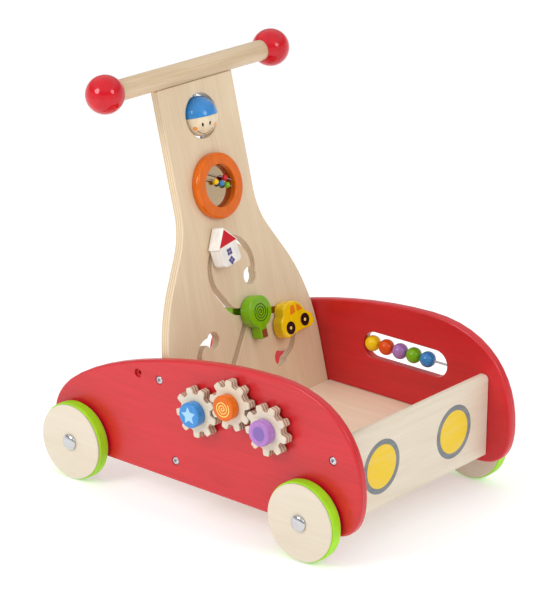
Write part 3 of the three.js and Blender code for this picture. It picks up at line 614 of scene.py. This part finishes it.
def build_wheels():
    for end in ("rear", "front"):
        axle = f"{end}_axle"
        center = middle(axle)
        reach = high(axle).y
        radius = (high(axle).z - low(axle).z) / 2
        rod = rounded([(0, -reach), (radius, -reach, 0.8), (radius, reach, 0.8), (0, reach)])
        piece(f"{end}_rod", lathe(f"{end}_rod", rod, center, Y, 32), STEEL, node=axle)
        for side, sign in SIDES.items():
            build_wheel(end, side, sign, center)


def build_wheel(end, side, sign, center):
    disc, tyre, cap = (f"{end}_{part}_{side}" for part in ("wheel", "tyre", "cap"))
    outward = sign * Y
    inner, outer = sorted(abs(v) for v in (low(disc).y, high(disc).y))
    rim = (high(disc).z - low(disc).z) / 2
    tyre_inner, tyre_outer = sorted(abs(v) for v in (low(tyre).y, high(tyre).y))
    tyre_radius = (high(tyre).z - low(tyre).z) / 2
    seat = TYRE_SEAT_RADIUS
    bore = AXLE_BORE_RADIUS
    lip = WHEEL_FACE_ROUNDING
    disc_profile = rounded([
        (bore, inner), (rim, inner, lip),
        (rim, tyre_inner - TYRE_GAP, 0.4), (seat, tyre_inner - TYRE_GAP),
        (seat, tyre_outer + TYRE_GAP), (rim, tyre_outer + TYRE_GAP, 0.4),
        (rim, outer, lip), (bore, outer, 0.6),
    ])
    piece(f"disc_{end}_{side}", lathe(disc, disc_profile, center, outward, 96), CREAM_WHEEL, node=disc)
    shoulder = tyre_radius - TYRE_CROWN
    tyre_profile = rounded([
        (seat + TYRE_GAP, tyre_inner), (shoulder, tyre_inner, 1.2), (tyre_radius, tyre_inner + 3, 2.5),
        (tyre_radius, tyre_outer - 3, 2.5), (shoulder, tyre_outer, 1.2), (seat + TYRE_GAP, tyre_outer),
    ])
    piece(f"tread_{end}_{side}", lathe(tyre, tyre_profile, center, outward, 96), LIME, node=tyre)
    cap_inner, cap_outer = sorted(abs(v) for v in (low(cap).y, high(cap).y))
    cap_radius = (high(cap).z - low(cap).z) / 2
    brim = cap_inner + CAP_BRIM
    cap_profile = [(0, cap_outer - CAP_HOLLOW), (bore, cap_outer - CAP_HOLLOW), (bore, cap_inner)]
    cap_profile += rounded([(cap_radius - 0.6, cap_inner), (cap_radius, cap_inner, 0.4), (cap_radius, brim)])
    cap_profile += [(cap_radius * math.cos(a), brim + (cap_outer - brim) * math.sin(a))
                    for a in (math.radians(9 * i) for i in range(1, 10))]
    cap_profile.append((0, cap_outer))
    piece(f"dome_{end}_{side}", lathe(cap, cap_profile, center, outward, 40), CHROME, node=cap)


# ---------------------------------------------------------------- screws

SCREW_SHANK_RADIUS = 2
SCREW_SOCKET_RADIUS = 2.5
SCREW_HEAD_DEPTH = 2.6


def build_screws():
    for name in ("board_upper_screw", "board_lower_screw", "front_screw"):
        for side, sign in SIDES.items():
            node = f"{name}_{side}"
            tip, face = sorted(abs(v) for v in (low(node).y, high(node).y))
            center = middle(node)
            center.y = 0
            head = (high(node).z - low(node).z) / 2
            shank, socket = SCREW_SHANK_RADIUS, SCREW_SOCKET_RADIUS
            neck = face - SCREW_HEAD_DEPTH
            profile = rounded([
                (0, tip), (0.8, tip), (shank, tip + 4), (shank, neck), (head, neck),
                (head, face - 0.2, 0.9), (socket, face - 0.1), (socket, face - 2.2), (0, face - 2.3),
            ])
            mesh = lathe(f"bolt_{node}", profile, center, sign * Y, 36)
            piece(f"bolt_{node}", mesh, ZINC, node=node)


# ---------------------------------------------------------------- gears

PURPLE_KNOB_DISH = 0.9
KNOB_HOLLOW_RADIUS = 5.4
KNOB_HOLLOW_DEPTH = 4
PIN_RADIUS = 2.5
PIN_HEAD_RADIUS = 4.6
PIN_COLLAR_RADIUS = 6
PIN_COLLAR = (145.3, 146.2)      # the collar's two faces, from the walker's middle


def build_gears():
    for color in ("blue", "orange", "purple"):
        gear, knob, pin = f"{color}_gear", f"{color}_knob", f"{color}_gear_pin"
        rounded_copy(f"cog_{color}", gear, [(0, 0.3), (30, 0.9)], GEAR_PLY, crease=35)
        center = middle(knob)
        center.y = 0
        top, back = -low(knob).y - INK_LEVEL, -high(knob).y
        radius = (high(knob).x - low(knob).x) / 2
        dish = PURPLE_KNOB_DISH if color == "purple" else 0
        hollow = back + KNOB_HOLLOW_DEPTH
        profile = rounded([
            (0, hollow), (KNOB_HOLLOW_RADIUS, hollow), (KNOB_HOLLOW_RADIUS, back),
            (radius, back, 0.8), (radius, top, 2.6),
            (radius * 0.66, top, 0.5), (radius * 0.62, top - dish, 0.3), (0, top - dish),
        ])
        piece(f"button_{color}", lathe(knob, profile, center, -Y, 64), PAINTS[color], node=knob)
        collar_low, collar_high = PIN_COLLAR
        pin_top, foot = -low(pin).y, -high(pin).y
        pin_profile = rounded([
            (0, foot), (PIN_RADIUS, foot, 0.4),
            (PIN_RADIUS, collar_low), (PIN_COLLAR_RADIUS, collar_low, 0.3),
            (PIN_COLLAR_RADIUS, collar_high, 0.3), (PIN_RADIUS, collar_high), (PIN_RADIUS, back),
            (PIN_HEAD_RADIUS, back, 0.2), (PIN_HEAD_RADIUS, pin_top - 0.8, 0.6), (0, pin_top),
        ])
        pin_center = middle(pin)
        pin_center.y = 0
        piece(f"stud_{color}", lathe(pin, pin_profile, pin_center, -Y, 32), STEEL, node=pin)
        print_knob(color, center, -top + dish, radius)


def print_knob(color, center, face_y, radius):
    """Each knob's own print: a star, a spiral or a darker disc."""
    body = f"{color}_gear_body"

    def place(across, up, level):
        return Vector((center.x + across, face_y - level, center.z + up))

    if color == "blue":
        reach, waist = radius * 0.72, radius * 0.36
        points = []
        for i in range(10):
            size = waist if i % 2 else reach
            corner = Vector((0, size)) @ Matrix.Rotation(-math.radians(36 * i + 8), 2)
            points.append((corner.x, corner.y, 1.2 if i % 2 == 0 else 0.8))
        printed("knob_star", rounded(points, closed=True), place, INKS["light_blue"], body)
    elif color == "orange":
        printed_line("knob_spiral", spiral(radius * 0.68, 3, 40), 1.1, place, INKS["pale_yellow"], body)
    else:
        printed("knob_disc", circle((0, 0), radius * 0.55, steps=56), place, INKS["violet"], body)


# ---------------------------------------------------------------- beads and rods

BEAD_PAINTS = {"yellow": "yellow", "red": "coral", "purple": "purple", "green": "green", "blue": "blue"}
BEAD_BORE_RADIUS = 1.55


def bead(name, node, axis, radius, bore, paint):
    profile = ball_profile(radius, bore, rows=22)
    piece(name, lathe(name, profile, middle(node), axis, 40), paint, node=node)


def build_beads():
    for color, paint in BEAD_PAINTS.items():
        node = f"{color}_bead"
        radius = (high(node).z - low(node).z) / 2
        bead(f"{color}_counting_bead", node, X, radius, BEAD_BORE_RADIUS, PAINTS[paint])
    rod = "bead_rod"
    start, length = low(rod).x, high(rod).x - low(rod).x
    radius = (high(rod).z - low(rod).z) / 2
    center = middle(rod)
    center.x = start
    profile = rounded([(0, 0), (radius, 0, 0.4), (radius, length, 0.4), (0, length)])
    piece("counting_rod", lathe("counting_rod", profile, center, X, 20), STEEL, node=rod)


# ---------------------------------------------------------------- handle and head

HANDLE_BAR_RADIUS = 12.5
BALL_SOCKET_END = -3.7           # where the bar's socket ends, outward from a ball's middle
HEAD_GROOVE = 0.5                # the cut line between the cap and the face


def build_handle():
    bar = "handle_bar"
    center = middle(bar)
    reach = high(bar).y
    radius = HANDLE_BAR_RADIUS
    profile = rounded([(0, -reach), (radius, -reach, 1), (radius, reach, 1), (0, reach)])
    piece("push_bar", lathe("push_bar", profile, center, Y, 64), BIRCH_BAR, node=bar)
    bore = HANDLE_BAR_RADIUS + 0.3
    for side, sign in SIDES.items():
        node = f"handle_ball_{side}"
        radius = (high(node).z - low(node).z) / 2
        tip = max(abs(low(node).y), abs(high(node).y))
        ball_center = Vector((center.x, sign * (tip - radius), center.z))
        mouth = math.degrees(math.asin(bore / radius))
        shell = circle((0, 0), radius, mouth - 90, 90, 36)
        profile = [(0, BALL_SOCKET_END), (bore, BALL_SOCKET_END)] + shell[:-1] + [(0, radius)]
        piece(f"grip_{side}", lathe(node, profile, ball_center, sign * Y, 64), PAINTS["red"], node=node)


FACE_YAW = -24.4                 # where the face looks, in degrees from straight ahead, - to the right
EYE_YAWS = (-36.4, -11.5)
EYE_LATITUDE = -22
CHEEKS = ((-63, -31), (15, -31))
SMILE_LATITUDE = -42
SMILE_HALF_WIDTH = 34
SMILE_DEPTH = 22
HEAD_BORE_RADIUS = 2.8
HEAD_PIN_RADIUS = 2.5
HEAD_PIN_OUT = -6                # the pin stands in the board's middle


def build_head():
    node = "head_ball"
    center = middle(node)
    radius = (high(node).y - low(node).y) / 2
    profile = ball_profile(radius, HEAD_BORE_RADIUS, rows=41)
    half = len(profile) // 2
    profile[half:half] = [(radius, -0.35), (radius - HEAD_GROOVE, 0), (radius, 0.35)]
    mesh = lathe("head", profile, center, BOARD_UP, 64, split_at=0)
    piece("head", mesh, [PAINTS["cream"], PAINTS["blue"]], node=node)
    pin = "head_pin"
    (_, foot, _), (_, top, _) = board_extent(pin)
    base = on_board(0, foot, HEAD_PIN_OUT)
    thick, length = HEAD_PIN_RADIUS, top - foot
    profile = rounded([(0, 0), (thick, 0, 0.5), (thick, length, 0.5), (0, length)])
    piece("head_spindle", lathe("head_spindle", profile, base, BOARD_UP, 32), STEEL, node=pin)
    body = NODES[node]["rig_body"]

    def on_face(yaw, latitude):
        """A print's plane wrapped on the ball round the point at this yaw and latitude."""
        def place(across, up, level):
            turn = math.radians(yaw) + across / (radius * math.cos(math.radians(latitude)))
            rise = math.radians(latitude) + up / radius
            flat = BOARD_OUT * math.cos(turn) + ACROSS * math.sin(turn)
            return center + (flat * math.cos(rise) + BOARD_UP * math.sin(rise)) * (radius + level)
        return place

    for i, yaw in enumerate(EYE_YAWS):
        oval = [Vector((p.x, p.y * 2.1)) for p in circle((0, 0), 1.2, steps=20)]
        printed(f"eye_{i + 1}", oval, on_face(yaw, EYE_LATITUDE), INKS["black"], body)
    for i, (yaw, latitude) in enumerate(CHEEKS):
        spot = circle((0, 0), 2.6, steps=28)
        printed(f"cheek_{i + 1}", spot, on_face(yaw, latitude), INKS["blush"], body)
    smile = []
    for i in range(25):
        share = i / 12 - 1
        yaw = math.radians(SMILE_HALF_WIDTH * share)
        latitude = math.radians(SMILE_DEPTH * (share * share - 1) + 2)
        smile.append(Vector((yaw * radius * math.cos(math.radians(SMILE_LATITUDE)), latitude * radius)))
    printed_line("smile", smile, 0.9, on_face(FACE_YAW, SMILE_LATITUDE), INKS["black"], body)


# ---------------------------------------------------------------- mirror window

WINDOW_RADIUS = 25.2
WINDOW_WIRE_RADIUS = 0.6
WINDOW_BEAD_RADIUS = 3.7
WINDOW_BEAD_BORE_RADIUS = 0.9


def build_window():
    ring = "window_ring"
    (left, bottom, back), (right, top, front) = board_extent(ring)
    center = on_board(0, (bottom + top) / 2)
    outer = (right - left) / 2
    inner = WINDOW_RADIUS
    profile = rounded([
        (inner, back), (outer, back, 0.6), (outer, front, 4.2), (inner, front, 1.4),
    ], steps=7, closed=True)
    piece("window_frame", lathe("window_frame", profile, center, BOARD_OUT, 96), PAINTS["orange"], node=ring)
    (_, _, back), (half, _, front) = board_extent("window_mirror")
    profile = rounded([(0, back), (half, back, 0.2), (half, front, 0.5), (0, front)])
    # The glass's brown tint is a painted reflection of the board round it.
    piece("window_glass", lathe("window_glass", profile, center, BOARD_OUT, 96), MIRROR_WITH_PAINTED_REFLECTION, node="window_mirror")
    slide = Vector(JOINTS["blue_window_bead_slide"]["axis"]).normalized()
    for name in ("lower", "upper"):
        node = f"window_wire_{name}"
        reach = max(abs((v.co / MM - middle(node)).dot(slide)) for v in NODES[node].data.vertices)
        thick = WINDOW_WIRE_RADIUS
        profile = rounded([(0, -reach), (thick, -reach, 0.2), (thick, reach, 0.2), (0, reach)])
        piece(f"wire_{name}", lathe(f"wire_{name}", profile, middle(node), slide, 16), STEEL, node=node)
    for color in ("yellow", "blue", "green", "red"):
        node = f"{color}_window_bead"
        bore = WINDOW_BEAD_BORE_RADIUS
        bead(f"{color}_tiny_bead", node, slide, WINDOW_BEAD_RADIUS, bore, PAINTS[color])


# ---------------------------------------------------------------- sliding figures

# Each figure's own origin on the board, as (across, up), and its tilt in degrees.
HOUSE_AT, HOUSE_TILT = (-16, 205.9), 9
TREE_AT, TREE_TILT = (19.9, 116), 0
CAR_AT, CAR_TILT = (80, 85.1), 7.5
FIGURE_STEM_RADIUS = 3.4
BUTTON_FRONT = -13               # where the back buttons end, 1 mm behind the 12 mm board


def figure_place(at, tilt, front):
    """Maps a figure's own (across, up) to the model, at a level over its front face."""
    turn = Matrix.Rotation(-math.radians(tilt), 2)

    def place(across, up, level):
        moved = Vector((across, up)) @ turn
        return on_board(at[0] + moved.x, at[1] + moved.y, front + level)
    return place


def build_figures():
    for node, paint in (("house", "white"), ("tree", "green"), ("car", "yellow")):
        rounded_copy(f"{node}_block", node, [(0, 0.3), (20, 1.5)], PAINTS[paint])
        build_button(node, PAINTS[paint])
    print_house()
    print_tree()
    print_car()


def build_button(figure, paint):
    """The back button and its stem, in one piece."""
    node = f"{figure}_button"
    (left, bottom, back), (right, top, end) = board_extent(node)
    base = on_board((left + right) / 2, (bottom + top) / 2)
    radius = (top - bottom) / 2
    stem = FIGURE_STEM_RADIUS
    profile = rounded([
        (0, back), (radius, back, 3), (radius, BUTTON_FRONT, 1.2),
        (stem, BUTTON_FRONT), (stem, end, 0.5), (0, end),
    ])
    piece(f"{figure}_knob", lathe(f"{figure}_knob", profile, base, BOARD_OUT, 48), paint, node=node)


# The house's windows as (across, up, turn in degrees), and one of the four panes of each.
HOUSE_WINDOWS = ((-1.4, -7.7, 0), (-1.7, -18.3, 30))
PANE_CORNERS = ((0.18, 0.18), (3.9, 0.18), (3.9, 3.9), (0.18, 3.9))


def print_house():
    front = board_extent("house")[1][2]
    place = figure_place(HOUSE_AT, HOUSE_TILT, front)
    roof = rounded([(-15.6, 1.4, 0.6), (15.6, 1.4, 0.6), (0, 19.4, 0.6)], closed=True)
    printed("house_roof_print", roof, place, INKS["red"], "house_body")
    for number, (across, up, turn) in enumerate(HOUSE_WINDOWS, start=1):
        tilt = Matrix.Rotation(-math.radians(turn), 2)
        for side, column in (("l", -1), ("r", 1)):
            for level, row in (("b", -1), ("t", 1)):
                corners = [(column * x, row * y) for x, y in PANE_CORNERS]
                pane = [Vector(c) @ tilt + Vector((across, up)) for c in corners]
                printed(f"house_pane_{number}_{side}{level}", pane, place, INKS["pane"], "house_body")


def print_tree():
    front = board_extent("tree")[1][2]
    place = figure_place(TREE_AT, TREE_TILT, front)
    printed_line("tree_spiral", spiral(12.1, 3.6, 150, step=9), 1.2, place, INKS["leaf"], "tree_body")
    corners = ((-4.2, -31.4), (4.6, -31.4), (4.6, -21.6), (-4.2, -21.6))
    trunk = rounded([(x, y, 0.5) for x, y in corners], closed=True)
    printed("tree_trunk_print", trunk, place, INKS["brown"], "tree_body")


def print_car():
    front = board_extent("car")[1][2]
    place = figure_place(CAR_AT, CAR_TILT, front)
    for name, across in (("rear", -13.7), ("front", 13.7)):
        printed(f"car_wheel_{name}", circle((across, 0), 7.9, steps=40), place, INKS["black"], "car_body")
        hub = circle((across, 0), 2.0, steps=20)
        printed(f"car_hub_{name}", hub, place, INKS["pale_yellow"], "car_body", level=INK_LEVEL)
    rear_window = [(-9.2, 14.2, 1.5), (1.0, 14.6, 0.8), (1.6, 24.2, 1.2), (-4.6, 24.8, 2.5)]
    front_window = [(4.6, 14.6, 0.8), (14.0, 13.6, 1.2), (10.2, 20.4, 2.0), (5.2, 23.6, 1.5)]
    for name, window in (("rear", rear_window), ("front", front_window)):
        printed(f"car_window_{name}", rounded(window, closed=True), place, INKS["amber"], "car_body")


# ---------------------------------------------------------------- camera, lights and floor

CAMERA_AZIMUTH = 40.42           # degrees from straight on to the right panel, towards the front
CAMERA_ELEVATION = 19.61
CAMERA_ROLL = 0.3
CAMERA_DISTANCE = 3142.7
CAMERA_TARGET = Vector((-25.6, 0, 225.8))
CAMERA_LENS = 162.55
CAMERA_SHIFT = (0.0153, -0.0033)

FLOOR_GLOW = 0.3
# The studio's brightness by height, where 0 is the horizon and 1 straight up.
SKY = ((0.0, 0.95), (0.12, 0.9), (0.26, 0.4), (0.4, 0.45), (0.7, 0.95))
# Each softbox as (name, azimuth, elevation, diameter in metres, watts).
SOFTBOXES = (("key", -13, 33, 0.85, 12.6), ("fill", 88, 34, 0.75, 7.4))
SOFTBOX_DISTANCE = 2.0           # in metres, from the point that the softboxes face
SOFTBOX_TARGET = Vector((0, 0, 0.2))


def direction(azimuth, elevation):
    """Towards a place seen at this azimuth, where 0 is the right-hand side and 90 the front."""
    a, e = math.radians(azimuth), math.radians(elevation)
    return Vector((math.sin(a) * math.cos(e), -math.cos(a) * math.cos(e), math.sin(e)))


def build_camera():
    data = bpy.data.cameras.new("camera")
    data.lens = CAMERA_LENS
    data.sensor_width = 36
    data.shift_x, data.shift_y = CAMERA_SHIFT
    data.clip_end = 100
    camera = bpy.data.objects.new("camera", data)
    bpy.context.scene.collection.objects.link(camera)
    back = direction(CAMERA_AZIMUTH, CAMERA_ELEVATION)
    turn = back.to_track_quat("Z", "Y").to_matrix() @ Matrix.Rotation(math.radians(CAMERA_ROLL), 3, "Z")
    camera.matrix_world = Matrix.Translation((CAMERA_TARGET + back * CAMERA_DISTANCE) * MM) @ turn.to_4x4()
    bpy.context.scene.camera = camera


def softbox(name, azimuth, elevation, size, power):
    """A round area light that faces the walker's middle."""
    data = bpy.data.lights.new(name, "AREA")
    data.shape = "DISK"
    data.size = size
    data.energy = power
    light = bpy.data.objects.new(name, data)
    bpy.context.scene.collection.objects.link(light)
    away = direction(azimuth, elevation)
    turn = away.to_track_quat("Z", "Y").to_matrix().to_4x4()
    light.matrix_world = Matrix.Translation(SOFTBOX_TARGET + away * SOFTBOX_DISTANCE) @ turn


def build_floor():
    """A white floor that glows a little, as a light table does, so that it stays white to its edges."""
    bm = bmesh.new()
    bmesh.ops.create_grid(bm, x_segments=8, y_segments=8, size=9)
    floor = bpy.data.objects.new("studio_floor", finished(bm, "studio_floor"))
    glow = {"Emission Color": (1, 1, 1, 1), "Emission Strength": FLOOR_GLOW}
    surface = Surface("studio_floor", {"Roughness": 0.7, "Specular IOR Level": 0.1, **glow})
    mottle = surface.stepped(surface.noise(surface.along(X, 900, 900), detail=2), 0.3, 0.7)
    surface.color(surface.blend(mottle, (0.86, 0.86, 0.86, 1), (0.84, 0.84, 0.84, 1)))
    floor.data.materials.append(surface.material)
    bpy.context.scene.collection.objects.link(floor)


def build_sky():
    """The studio round the walker: a bright ceiling, darker walls and a pale horizon."""
    world = bpy.data.worlds.new("studio")
    bpy.context.scene.world = world
    world.use_nodes = True
    nodes, links = world.node_tree.nodes, world.node_tree.links
    place = nodes.new("ShaderNodeTexCoord")
    split = nodes.new("ShaderNodeSeparateXYZ")
    links.new(place.outputs["Generated"], split.inputs[0])
    ramp = nodes.new("ShaderNodeValToRGB")
    links.new(split.outputs["Z"], ramp.inputs["Fac"])
    ramp.color_ramp.interpolation = "EASE"
    while len(ramp.color_ramp.elements) < len(SKY):
        ramp.color_ramp.elements.new(0.5)
    for element, (height, light) in zip(ramp.color_ramp.elements, SKY):
        element.position = height
        element.color = (light, light, light, 1)
    links.new(ramp.outputs["Color"], nodes["Background"].inputs["Color"])


def build_studio():
    build_floor()
    build_sky()
    for box in SOFTBOXES:
        softbox(*box)
    bpy.context.scene.view_settings.view_transform = "Standard"


build_camera()
build_studio()
build_panels()
build_lamps()
build_wheels()
build_screws()
build_gears()
build_beads()
build_handle()
build_head()
build_window()
build_figures()
